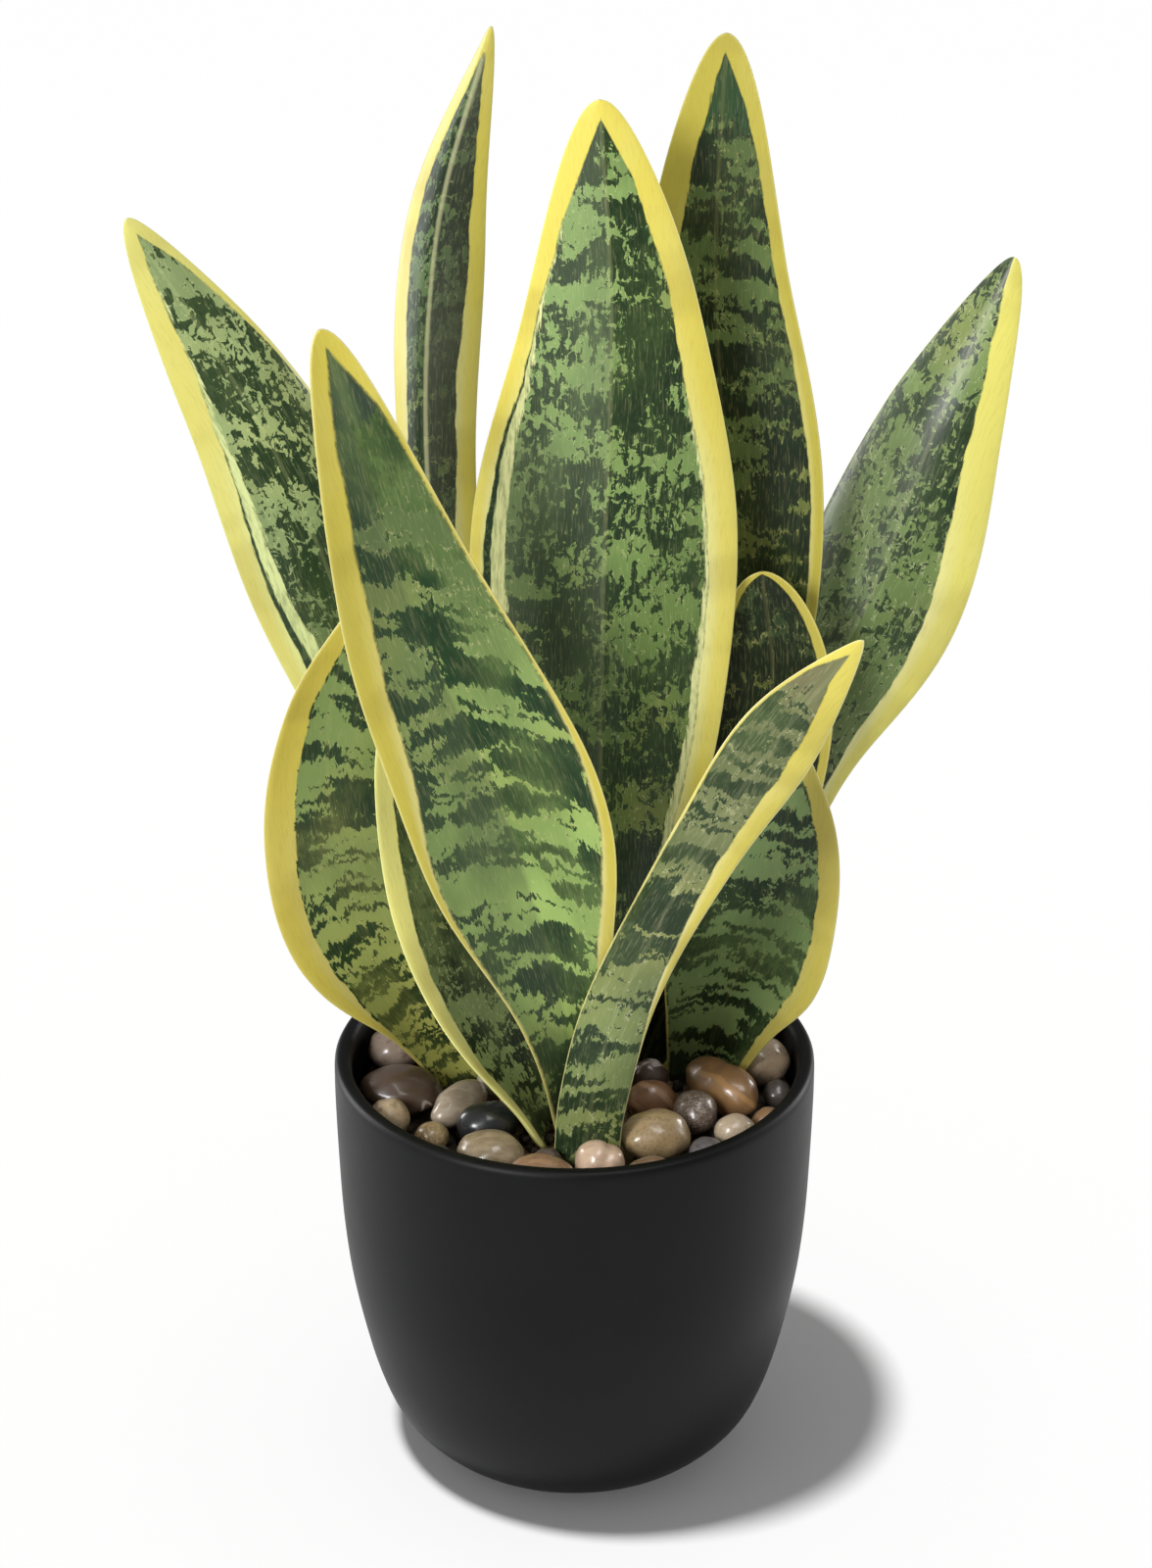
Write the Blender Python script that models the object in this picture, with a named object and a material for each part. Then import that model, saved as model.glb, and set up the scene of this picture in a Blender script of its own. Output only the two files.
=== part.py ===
"""A potted snake plant: a round-bottomed pot, potting soil, a rhizome, eleven leaves and a dressing of river pebbles.

The frame is +Z up, with its origin at the centre of the pot's flat underside, and -Y is the plant's front.
Every length below is in millimetres and becomes metres through MM.
"""

import math

import bmesh
import bpy
import numpy as np
from mathutils import Vector, noise

MM = 0.001

# Gap left between pieces that touch.
GAP = 0.4

# The pot, turned about Z: (radius, height) up its outside, over its rim and down its inside.
OUTSIDE = [
    (27.0, 0.0),
    (33.5, 0.7),
    (39.0, 3.0),
    (44.0, 7.0),
    (49.4, 14.0),
    (53.6, 25.0),
    (57.0, 39.0),
    (59.7, 54.0),
    (61.3, 70.0),
    (62.1, 88.0),
    (62.5, 104.0),
    (62.5, 112.4),
]
RIM = [(62.1, 114.0), (61.0, 114.9), (60.2, 115.0), (59.4, 114.9), (58.5, 114.2)]
INSIDE = [
    (58.1, 112.8),
    (58.0, 100.0),
    (57.4, 82.0),
    (55.8, 62.0),
    (53.0, 44.0),
    (49.0, 29.0),
    (43.5, 17.0),
    (36.0, 9.5),
    (28.0, 7.0),
]
TURN_STEPS = 48

# The potting soil fills the pot to this height, and has a pocket in its top that the rhizome lies in.
SOIL_TOP = 100.5
POCKET_CENTER = (1.0, -6.0)
POCKET_HALF_SIZE = (38.0, 31.0)
POCKET_FLOOR = 88.5

# A leaf's blade.
LEAF_ROWS = 16
LEAF_COLUMNS = 6


class Leaf:
    """One leaf: the line its midrib follows, where its face looks, and how its blade is shaped.

    spine     points on the midrib from the base to the tip
    widths    the blade's full width at evenly spaced shares of its length, base first
    face      azimuths that the face looks to, evenly spaced likewise: 0 is the front, 90 is +X
    cup       half-angles through which the blade's section bends towards its face, likewise
    fold      angles by which each half of the blade is folded towards the face at the midrib, likewise
    ripple    how far the margins wave out of the blade, how many waves they make, and where the first begins
    round_tip how late the blade closes to its tip: higher is blunter
    """

    def __init__(self, spine, widths, face, cup, fold=(0,), ripple=(0.8, 2, 0), round_tip=14):
        self.spine = spine
        self.widths = widths
        self.face = face
        self.cup = cup
        self.fold = fold
        self.ripple = ripple
        self.round_tip = round_tip


LEAVES = {
    "leaf_center_broad": Leaf(
        spine=[(3.2, -6.8, 101.5), (6, -4, 149), (7, 3, 238), (9, 11, 308), (6, 18, 362)],
        widths=(18, 36, 61, 68, 46, 22),
        face=(0, 0, 0),
        cup=(10, -10, -18, -15),
        fold=(0, -4, -6, -6),
    ),
    "leaf_front_broad": Leaf(
        spine=[(1.7, -19.9, 101.5), (-2, -31, 140), (-17, -37, 201), (-39, -38, 257), (-58, -36, 323)],
        widths=(14, 26, 49, 44, 29, 9),
        face=(5, 15, 25),
        cup=(60, 30, 20),
        round_tip=45,
    ),
    "leaf_left_outer": Leaf(
        spine=[(-30.4, 19, 101.5), (-37, 19, 158), (-55, 24, 217), (-76, 30, 271), (-110, 38, 327)],
        widths=(16, 22, 34, 43, 31, 7),
        face=(25, 25, 25),
        cup=(-50, -45, -20),
        round_tip=45,
    ),
    "leaf_left_thin": Leaf(
        spine=[(-13.5, 23.6, 101.5), (-26, 27, 179), (-36.5, 33, 255), (-34, 38, 321), (-20, 44, 373)],
        widths=(17, 20, 22.5, 26, 26, 5),
        face=(-16, -16, -18),
        cup=(-20, -10, -5),
        fold=(-22, -32, -32),
        round_tip=30,
    ),
    "leaf_right_tall": Leaf(
        spine=[(8.8, 26, 101.5), (24, 26, 159), (37, 32, 246), (35, 40, 316), (37, 46, 371)],
        widths=(18, 34, 52, 51, 36, 20),
        face=(-5, -10, -10),
        cup=(10, 8, 12),
    ),
    "leaf_right_outer": Leaf(
        spine=[(33.6, 26, 101.5), (50, 26, 178), (74, 31, 226), (92, 38, 275), (110, 48, 314)],
        widths=(16, 28, 38, 48, 34, 8),
        face=(-25, -25, -30),
        cup=(-50, -40, -30),
        round_tip=45,
    ),
    "leaf_left_low": Leaf(
        spine=[(-28.4, 8.1, 101.5), (-39, 1, 125), (-52, -7, 151), (-60, -14, 186), (-60, -17, 218), (-52, -20, 250)],
        widths=(14, 24, 41, 37, 24, 5),
        face=(15, 15, 15),
        cup=(50, 25, 15),
    ),
    "leaf_front_left": Leaf(
        spine=[(-8.7, -20.7, 101.5), (-13, -21.5, 112), (-25, -21, 138), (-34, -20, 170), (-39.5, -19, 200), (-45, -18, 232)],
        widths=(16, 24, 28, 27, 21, 4),
        face=(85, 45, 28, 25),
        cup=(45, 20, 12, 12),
    ),
    "leaf_front_small": Leaf(
        spine=[(2.8, -35.3, 101.5), (4.5, -37, 121), (11.5, -41, 152), (27, -48.5, 190), (46, -56, 227), (66, -64, 258)],
        widths=(17, 17.5, 17, 18.5, 20, 4),
        face=(170, 160, 150),
        cup=(12, 30, 22),
        round_tip=40,
    ),
    "leaf_right_low": Leaf(
        spine=[(32.7, 8, 101.5), (39, -2, 130), (46, -12, 156), (52, -20, 187), (54, -23, 217)],
        widths=(18, 29, 41, 37, 25, 5),
        face=(-10, -10, -10),
        cup=(50, 25, 15),
    ),
    "leaf_right_middle": Leaf(
        spine=[(18, 17.6, 101.5), (31, 12, 139), (43, 10, 178), (50, 12, 212), (47, 15, 243)],
        widths=(14, 26, 33, 36, 32, 24),
        face=(-10, -10, -10),
        cup=(50, 25, 15),
    ),
}


def smooth_line(points):
    """Closely spaced points along a smooth curve through points, and how far along it each one is."""
    control = np.array(points, float)
    control = np.vstack([2 * control[0] - control[1], control, 2 * control[-1] - control[-2]])
    fine = []
    for i in range(1, len(control) - 2):
        a, b, c, d = control[i - 1 : i + 3]
        for t in np.linspace(0, 1, 24, endpoint=False):
            fine.append(
                0.5 * (2 * b + (c - a) * t + (2 * a - 5 * b + 4 * c - d) * t * t + (3 * b - a - 3 * c + d) * t**3)
            )
    fine = np.array(fine + [control[-2]])
    along = np.concatenate([[0], np.cumsum(np.linalg.norm(np.diff(fine, axis=0), axis=1))])
    return fine, along


def eased(values, share):
    """The value at share (0 to 1) of a smooth curve through evenly spaced values."""
    if len(values) == 1:
        return values[0] + 0 * share
    fine, _ = smooth_line([(place, value) for place, value in zip(np.linspace(0, 1, len(values)), values)])
    return np.interp(share, fine[:, 0], fine[:, 1])


def half_width(leaf, share):
    """Half the blade's width at share of its length, rounded off at the tip."""
    return eased(leaf.widths, share) / 2 * (1 - np.clip(share, 0, 1) ** leaf.round_tip) ** 0.5


def blade(leaf, shares, across):
    """The blade's middle surface at these shares of its length and places across it (-1 to 1), with its normals."""
    fine, along = smooth_line(leaf.spine)
    length = along[-1]
    middle = np.stack([np.interp(shares * length, along, fine[:, k]) for k in range(3)], 1)
    ahead = np.stack([np.interp(np.minimum(shares + 0.01, 1) * length, along, fine[:, k]) for k in range(3)], 1)
    behind = np.stack([np.interp(np.maximum(shares - 0.01, 0) * length, along, fine[:, k]) for k in range(3)], 1)
    tangent = ahead - behind
    tangent /= np.linalg.norm(tangent, axis=1, keepdims=True)
    azimuth = np.radians(eased(leaf.face, shares))
    facing = np.stack([np.sin(azimuth), -np.cos(azimuth), 0 * azimuth], 1)
    facing -= tangent * (facing * tangent).sum(1, keepdims=True)
    facing /= np.linalg.norm(facing, axis=1, keepdims=True)
    side = np.cross(tangent, facing)

    half = half_width(leaf, shares)[:, None]
    bend = np.radians(eased(leaf.cup, shares))[:, None]
    bend = np.where(np.abs(bend) < 1e-3, 1e-3, bend)
    fold = np.radians(eased(leaf.fold, shares))[:, None]
    a = across[None, :]
    sideways = half * np.sin(a * bend) / bend
    forward = half * (1 - np.cos(a * bend)) / bend
    soft = np.sqrt(a * a + 0.01) - 0.1
    side_folded = sideways * np.cos(fold) - np.sign(a) * forward * np.sin(fold)
    forward_folded = forward * np.cos(fold) + half * soft * np.sin(fold)
    amount, waves, phase = leaf.ripple
    wave = amount * np.sin(2 * math.pi * (waves * shares[:, None] + phase + 0.3 * np.sign(a)))
    forward_folded = forward_folded + wave * np.abs(a) ** 2.5 * np.minimum(1, 4 * (1 - shares[:, None]))
    points = middle[:, None] + side[:, None] * side_folded[..., None] + facing[:, None] * forward_folded[..., None]

    turn = a * bend + np.sign(a) * fold
    normals = facing[:, None] * np.cos(turn)[..., None] - side[:, None] * np.sin(turn)[..., None]
    return points, normals


class Pebble:
    """One river pebble: an ellipsoid with a little of it worn away.

    at      where its middle is, seen from above
    size    its length, width and height
    yaw     how far its length is turned from X
    tilt    how far it is rolled about its length
    firm    how strongly it holds its place when its neighbours push it
    """

    def __init__(self, at, size, yaw=0.0, tilt=0.0, colour=(0.2, 0.13, 0.08), firm=1.0, lift=0.0):
        self.half = np.array(size, float) / 2
        turn, roll = math.radians(yaw), math.radians(tilt)
        spin = np.array([[math.cos(turn), -math.sin(turn), 0], [math.sin(turn), math.cos(turn), 0], [0, 0, 1]])
        rock = np.array([[1, 0, 0], [0, math.cos(roll), -math.sin(roll)], [0, math.sin(roll), math.cos(roll)]])
        self.axes = spin @ rock
        height = SOIL_TOP + GAP + self.reach(np.array([0.0, 0.0, 1.0])) + lift
        self.center = np.array([at[0], at[1], height], float)
        self.colour = colour
        self.firm = firm

    def reach(self, direction):
        """How far the pebble reaches from its middle in a direction."""
        return float(np.linalg.norm(self.half * (self.axes.T @ direction)))


# The pebbles at the front and sides, from left to right.
PLACED_PEBBLES = [
    Pebble((-48, 21), (16, 14, 12), 20, 0, (0.16, 0.12, 0.10)),
    Pebble((-46, 3), (23, 16, 12), -5, 0, (0.07, 0.045, 0.03)),
    Pebble((-47.5, -13), (11, 11, 11), 0, 0, (0.42, 0.31, 0.20)),
    Pebble((-34, -10), (21, 11, 11), 52, 0, (0.30, 0.24, 0.18)),
    Pebble((-26, -21), (17, 12, 12), 10, 0, (0.012, 0.013, 0.014)),
    Pebble((-36, -28.5), (10, 9, 9), 70, 0, (0.22, 0.15, 0.07)),
    Pebble((-21, -36), (18, 14, 11), -10, 0, (0.30, 0.24, 0.14)),
    Pebble((-11, -45), (18, 14, 11), -12, 0, (0.26, 0.15, 0.08)),
    Pebble((-24, 0), (10, 9, 9), -40, 0, (0.40, 0.35, 0.28)),
    Pebble((-29, -37), (8, 8, 8), 0, 0, (0.05, 0.04, 0.03)),
    Pebble((4.5, -44), (13, 13, 13), 10, 0, (0.52, 0.40, 0.29)),
    Pebble((20, -31), (19, 15, 13), 20, 0, (0.38, 0.27, 0.14)),
    Pebble((18, -10), (14, 10, 11), 5, 0, (0.17, 0.09, 0.05)),
    Pebble((31, -19), (12, 13, 12), 0, 0, (0.10, 0.07, 0.05)),
    Pebble((41, -7), (26, 13, 14), -50, 0, (0.24, 0.13, 0.06)),
    Pebble((49, 10), (16, 15, 14), 0, 0, (0.30, 0.24, 0.18)),
    Pebble((33, -35), (10, 9, 8), 0, 0, (0.09, 0.08, 0.08)),
    Pebble((15, -47), (13, 9, 10), 5, 0, (0.16, 0.10, 0.06)),
    Pebble((20, 2), (10, 9, 10), 0, 0, (0.09, 0.05, 0.035)),
    Pebble((53, -6), (8, 8, 8), 0, 0, (0.06, 0.05, 0.045)),
    Pebble((49, -18), (9, 8, 8), 60, 0, (0.34, 0.18, 0.07)),
]

# Where more pebbles are tried: rings of (radius, how many, where the first stands in degrees).
PEBBLE_RINGS = [(49, 18, 8), (34, 12, 20), (18, 6, 0)]
PEBBLE_COLOURS = [
    (0.20, 0.13, 0.08),
    (0.08, 0.06, 0.05),
    (0.33, 0.26, 0.18),
    (0.14, 0.10, 0.08),
    (0.26, 0.15, 0.07),
    (0.05, 0.045, 0.045),
    (0.42, 0.34, 0.25),
]


def blade_thickness(share, across):
    """How thick a blade is: thickest at the midrib and towards the base."""
    middle = 1.2 + 2.0 * (1 - share) ** 1.2
    edge = 0.7 + 0.4 * (1 - share)
    return edge + (middle - edge) * (1 - across**2)


def leaf_solid(leaf):
    """The points and faces of a leaf, closed at its base and its tip."""
    shares = 1 - (1 - np.linspace(0, 1, LEAF_ROWS + 1)[:-1]) ** 1.5
    shares = np.append(shares, 0.994)
    across = np.linspace(-1, 1, LEAF_COLUMNS + 1)
    points, normals = blade(leaf, shares, across)
    half = blade_thickness(shares[:, None], across[None, :])[..., None] / 2
    front, back = points + normals * half, points - normals * half
    rings = np.concatenate([front, back[:, ::-1]], axis=1)
    rise = rings[1] - rings[0]
    rings[0] += rise * ((leaf.spine[0][2] - rings[0][:, 2]) / rise[:, 2])[:, None]
    return loft(rings, rings[0].mean(0), np.array(leaf.spine[-1], float))


def loft(rings, first, last):
    """Points and faces of a solid through closed rings of points, with a fan to a point at each end."""
    count, around = rings.shape[:2]
    points = [tuple(p) for ring in rings for p in ring] + [tuple(first), tuple(last)]
    faces = []
    for i in range(count - 1):
        for j in range(around):
            k = (j + 1) % around
            faces.append((i * around + j, i * around + k, (i + 1) * around + k, (i + 1) * around + j))
    low, high = count * around, count * around + 1
    for j in range(around):
        k = (j + 1) % around
        faces.append((low, k, j))
        faces.append((high, (count - 1) * around + j, (count - 1) * around + k))
    return points, faces


def turned(profile):
    """Points and faces of a solid turned about Z, whose profile starts and ends on the axis."""
    angles = np.arange(TURN_STEPS) * 2 * math.pi / TURN_STEPS
    rings = np.array([[(r * math.cos(t), r * math.sin(t), z) for t in angles] for r, z in profile[1:-1]])
    return loft(rings, (0, 0, profile[0][1]), (0, 0, profile[-1][1]))


def pot_solid():
    return turned([(0, 0)] + OUTSIDE + RIM + INSIDE + [(0, INSIDE[-1][1])])


def pocket_ring(share, gap=0.0):
    """A level ring of points around the pocket, at share of its size less a gap."""
    angles = np.arange(TURN_STEPS) * 2 * math.pi / TURN_STEPS
    knobs = 1 + 0.05 * np.sin(3 * angles + 1) + 0.04 * np.sin(5 * angles)
    x = POCKET_CENTER[0] + (POCKET_HALF_SIZE[0] - gap) * share * knobs * np.cos(angles)
    y = POCKET_CENTER[1] + (POCKET_HALF_SIZE[1] - gap) * share * knobs * np.sin(angles)
    return np.stack([x, y], 1)


def soil_solid():
    angles = np.arange(TURN_STEPS) * 2 * math.pi / TURN_STEPS
    circle = np.stack([np.cos(angles), np.sin(angles)], 1)
    rings = []
    for r, z in reversed(INSIDE[1:]):
        if z < SOIL_TOP - 4:
            rings.append(np.column_stack([(r - GAP) * circle, np.full(TURN_STEPS, z + GAP)]))
    outer = 57.8 - GAP
    rings.append(np.column_stack([outer * circle, np.full(TURN_STEPS, SOIL_TOP - 1.2)]))
    pocket = pocket_ring(1.0)
    for mix, drop in ((0.96, 0.3), (0.6, 0.9), (0.3, 0.2), (0.04, 0.0)):
        flat = pocket * (1 - mix) + outer * circle * mix
        height = SOIL_TOP - drop * (1 + np.sin(4 * angles + 9 * mix)) / 2
        rings.append(np.column_stack([flat, height]))
    rings.append(np.column_stack([pocket, np.full(TURN_STEPS, SOIL_TOP - 0.8)]))
    rings.append(np.column_stack([pocket_ring(0.99), np.full(TURN_STEPS, POCKET_FLOOR + 3)]))
    rings.append(np.column_stack([pocket_ring(0.9), np.full(TURN_STEPS, POCKET_FLOOR)]))
    return loft(np.array(rings), (0, 0, INSIDE[-1][1] + GAP), (*POCKET_CENTER, POCKET_FLOOR))


def rhizome_solid():
    angles = np.arange(TURN_STEPS) * 2 * math.pi / TURN_STEPS
    rings = []
    for share, z in ((0.6, 0.5), (0.88, 0.9), (0.97, 3.6), (1.0, 7.0), (0.985, 10.4), (0.93, 11.4), (0.6, 11.7)):
        ring = pocket_ring(share, gap=0.7)
        rough = 0.35 * np.sin(7 * angles + z) * (0.2 if share > 0.9 else 1) if z > 7 else 0 * angles
        rings.append(np.column_stack([ring, POCKET_FLOOR + z - np.abs(rough)]))
    return loft(np.array(rings), (*POCKET_CENTER, POCKET_FLOOR + 0.5), (*POCKET_CENTER, POCKET_FLOOR + 11.6))


def base_points():
    """Points on the leaves' blades near the pebbles, and how thick each blade is there."""
    found, thick = [], []
    across = np.linspace(-1, 1, 17)
    for leaf in LEAVES.values():
        shares = np.linspace(0, 0.35, 50)
        points, _ = blade(leaf, shares, across)
        thickness = blade_thickness(shares[:, None], across[None, :])
        low = points[..., 2] < SOIL_TOP + 20
        found.append(points[low])
        thick.append(thickness[low])
    return np.concatenate(found), np.concatenate(thick) / 2


def settle(pebbles):
    """Push the pebbles apart, clear of the leaves and the pot, and drop any that find no room."""
    leaf_points, leaf_half = base_points()
    wall = 57.7 - GAP

    def shift_from_leaves(p):
        reach = p.half[None, :] + leaf_half[:, None] + GAP
        inside = (leaf_points - p.center) @ p.axes / reach
        depth = 1 - np.linalg.norm(inside, axis=1)
        worst = int(np.argmax(depth))
        if depth[worst] <= 0:
            return None
        deep = depth > 0
        away = p.center - (leaf_points[deep] * depth[deep, None]).sum(0) / depth[deep].sum()
        away[2] = 0
        away /= max(np.linalg.norm(away), 1e-6)
        return away * (depth[worst] * p.half[:2].min() + 0.02)

    def lack(p, q):
        apart = p.center - q.center
        distance = np.linalg.norm(apart)
        direction = apart / distance
        return p.reach(direction) + q.reach(direction) + GAP - distance, direction

    def crowding(p):
        radial = p.center[:2] / np.linalg.norm(p.center[:2])
        over = np.linalg.norm(p.center[:2]) + p.reach(np.array([*radial, 0.0])) - wall
        worst = max([over] + [lack(p, q)[0] for q in pebbles if q is not p])
        away = shift_from_leaves(p)
        return max(worst, 0 if away is None else float(np.linalg.norm(away)))

    for turn in range(500):
        for i, p in enumerate(pebbles):
            for q in pebbles[:i]:
                need, direction = lack(p, q)
                if need > 0:
                    flat = np.array([direction[0], direction[1], 0.0])
                    flat /= max(np.linalg.norm(flat), 1e-6)
                    share = q.firm / (p.firm + q.firm)
                    p.center += flat * (need * share + 0.005)
                    q.center -= flat * (need * (1 - share) + 0.005)
            away = shift_from_leaves(p)
            if away is not None:
                p.center += away
            radial = np.array([*p.center[:2], 0.0]) / np.linalg.norm(p.center[:2])
            over = np.linalg.norm(p.center[:2]) + p.reach(radial) - wall
            if over > 0:
                p.center -= radial * (over + 0.005)
        crowded = [crowding(p) for p in pebbles]
        if max(crowded) <= 0.12:
            break
        if turn % 20 == 19:
            loose = [i for i, p in enumerate(pebbles) if crowded[i] > 0.12 and p.firm < 1]
            if loose:
                pebbles.pop(max(loose, key=lambda i: crowded[i]))
    return pebbles


def all_pebbles():
    rng = np.random.default_rng(7)
    pebbles = list(PLACED_PEBBLES)
    for radius, count, start in PEBBLE_RINGS:
        for i in range(count):
            angle = math.radians(start + 360 * i / count + rng.uniform(-4, 4))
            at = np.array([radius * math.cos(angle), radius * math.sin(angle)])
            size = np.array([rng.uniform(13, 19), rng.uniform(11, 14), rng.uniform(10, 12.5)])
            yaw, tilt = rng.uniform(0, 180), rng.uniform(-12, 12)
            colour = PEBBLE_COLOURS[rng.integers(len(PEBBLE_COLOURS))]
            if min(np.linalg.norm(at - p.center[:2]) for p in pebbles) > 10.5:
                pebbles.append(Pebble(at, size, yaw, tilt, colour, firm=0.25))
    return fill_gaps(settle(pebbles), rng)


def fill_gaps(pebbles, rng, most=45):
    """Add small pebbles where there is still room for one on the soil."""
    leaf_points, leaf_half = base_points()
    low = leaf_points[:, 2] < SOIL_TOP + 12
    leaf_points, leaf_half = leaf_points[low][:, :2], leaf_half[low]
    step = np.arange(-56, 56.1, 1.0)
    grid = np.array([(x, y) for x in step for y in step if math.hypot(x, y) < 54])
    while len(pebbles) < most:
        room = 57.7 - np.linalg.norm(grid, axis=1)
        for p in pebbles:
            away = grid - p.center[:2]
            distance = np.maximum(np.linalg.norm(away, axis=1), 1e-6)
            flat = np.column_stack([away / distance[:, None], 0 * distance])
            room = np.minimum(room, distance - np.linalg.norm((flat @ p.axes) * p.half, axis=1))
        leaves = np.linalg.norm(grid[:, None] - leaf_points[None], axis=2) - leaf_half
        room = np.minimum(room, leaves.min(1)) - GAP
        best = int(np.argmax(room))
        if room[best] < 3.2:
            break
        across = 2 * min(room[best], 7.0)
        colour = PEBBLE_COLOURS[rng.integers(len(PEBBLE_COLOURS))]
        size = (across, across * rng.uniform(0.8, 0.95), min(across * rng.uniform(0.75, 0.9), 11))
        pebbles.append(Pebble(grid[best], size, rng.uniform(0, 180), 0, colour))
    return pebbles


def pebble_solid(pebble, seed, detail=1):
    """The points and faces of a pebble: a ball of triangles pressed into the pebble's shape."""
    mesh = bmesh.new()
    bmesh.ops.create_icosphere(mesh, subdivisions=detail + 1, radius=1)
    offset = Vector((seed * 3.7, seed * 1.9, 0))
    points = []
    for vertex in mesh.verts:
        worn = 1 - 0.1 * (1 + noise.noise(vertex.co * 1.1 + offset)) / 2
        points.append(pebble.center + pebble.axes @ (np.array(vertex.co) * worn * pebble.half))
    faces = [tuple(v.index for v in face.verts) for face in mesh.faces]
    mesh.free()
    return points, faces


def add(name, solid, colour, roughness):
    points, faces = solid
    mesh = bpy.data.meshes.new(name)
    mesh.from_pydata([tuple(float(c) * MM for c in point) for point in points], [], faces)
    mesh.validate()
    piece = bpy.data.objects.new(name, mesh)
    bpy.context.scene.collection.objects.link(piece)
    bm = bmesh.new()
    bm.from_mesh(mesh)
    bmesh.ops.recalc_face_normals(bm, faces=bm.faces)
    if bm.calc_volume(signed=True) < 0:
        bmesh.ops.reverse_faces(bm, faces=bm.faces)
    bm.to_mesh(mesh)
    bm.free()
    for polygon in mesh.polygons:
        polygon.use_smooth = True
    material = bpy.data.materials.new(name + "_material")
    material.use_nodes = True
    surface = material.node_tree.nodes["Principled BSDF"]
    surface.inputs["Base Color"].default_value = (*colour, 1)
    surface.inputs["Roughness"].default_value = roughness
    surface.inputs["Metallic"].default_value = 0.0
    mesh.materials.append(material)
    return piece


def main():
    for piece in list(bpy.data.objects):
        bpy.data.objects.remove(piece, do_unlink=True)
    add("pot", pot_solid(), (0.012, 0.012, 0.013), 0.5)
    add("potting_soil", soil_solid(), (0.035, 0.022, 0.014), 0.95)
    add("rhizome", rhizome_solid(), (0.42, 0.30, 0.16), 0.7)
    for name, leaf in LEAVES.items():
        add(name, leaf_solid(leaf), (0.11, 0.2, 0.05), 0.4)
    for number, pebble in enumerate(all_pebbles(), 1):
        add(f"pebble_{number:02d}", pebble_solid(pebble, number), pebble.colour, 0.25)


if __name__ == "__main__":
    main()
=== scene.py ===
"""A potted snake plant: eleven variegated leaves in a matte black tub.

The soil in the tub is dressed with polished river pebbles.
"""

import math

import bmesh
import bpy
import numpy as np
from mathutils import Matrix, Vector, noise


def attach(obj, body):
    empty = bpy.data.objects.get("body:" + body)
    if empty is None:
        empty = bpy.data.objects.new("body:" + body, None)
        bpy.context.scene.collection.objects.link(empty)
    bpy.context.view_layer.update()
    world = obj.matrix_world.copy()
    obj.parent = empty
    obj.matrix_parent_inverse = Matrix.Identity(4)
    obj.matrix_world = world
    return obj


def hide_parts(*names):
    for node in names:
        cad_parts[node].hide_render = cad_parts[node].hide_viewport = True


MM = 0.001

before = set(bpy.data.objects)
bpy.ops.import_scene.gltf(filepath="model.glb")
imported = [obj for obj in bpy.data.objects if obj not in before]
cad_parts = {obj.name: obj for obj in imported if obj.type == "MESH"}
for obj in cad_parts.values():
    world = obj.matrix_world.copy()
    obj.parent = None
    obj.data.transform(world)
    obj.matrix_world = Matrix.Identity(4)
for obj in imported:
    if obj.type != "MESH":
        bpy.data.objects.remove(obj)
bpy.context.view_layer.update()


# ---------------------------------------------------------------- the leaves


class Leaf:
    """One leaf: where its blade goes, and how it is marked. Lengths are in millimetres.

    Lists run from the base to the tip and are evenly spaced. Left and right are as seen on the leaf's face.

    spine       points on the midrib
    widths      the blade's full width
    face        azimuths that the face looks to: 0 is the front, 90 is +X
    cup         half-angles through which the blade's section bends towards its face
    fold        angles by which each half of the blade is folded towards the face at the midrib
    ripple      how far the margins wave out of the blade, in how many waves, and where the first begins
    round_tip   how late the blade closes to its tip: higher is blunter
    margins     widths of the yellow margins, left and right
    stripes     widths of the dark green stripe inside each margin, left and right
    pales       widths of the pale stripe inside that, left and right
    """

    def __init__(self, spine, widths, face, cup, fold=(0,), ripple=(0.8, 2, 0), round_tip=14, **marks):
        self.spine = spine
        self.widths = widths
        self.face = face
        self.cup = cup
        self.fold = fold
        self.ripple = ripple
        self.round_tip = round_tip
        self.margins = marks.pop("margins")
        self.stripes = marks.pop("stripes", ((0,), (0,)))
        self.pales = marks.pop("pales", ((0,), (0,)))
        self.marks = marks


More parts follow.
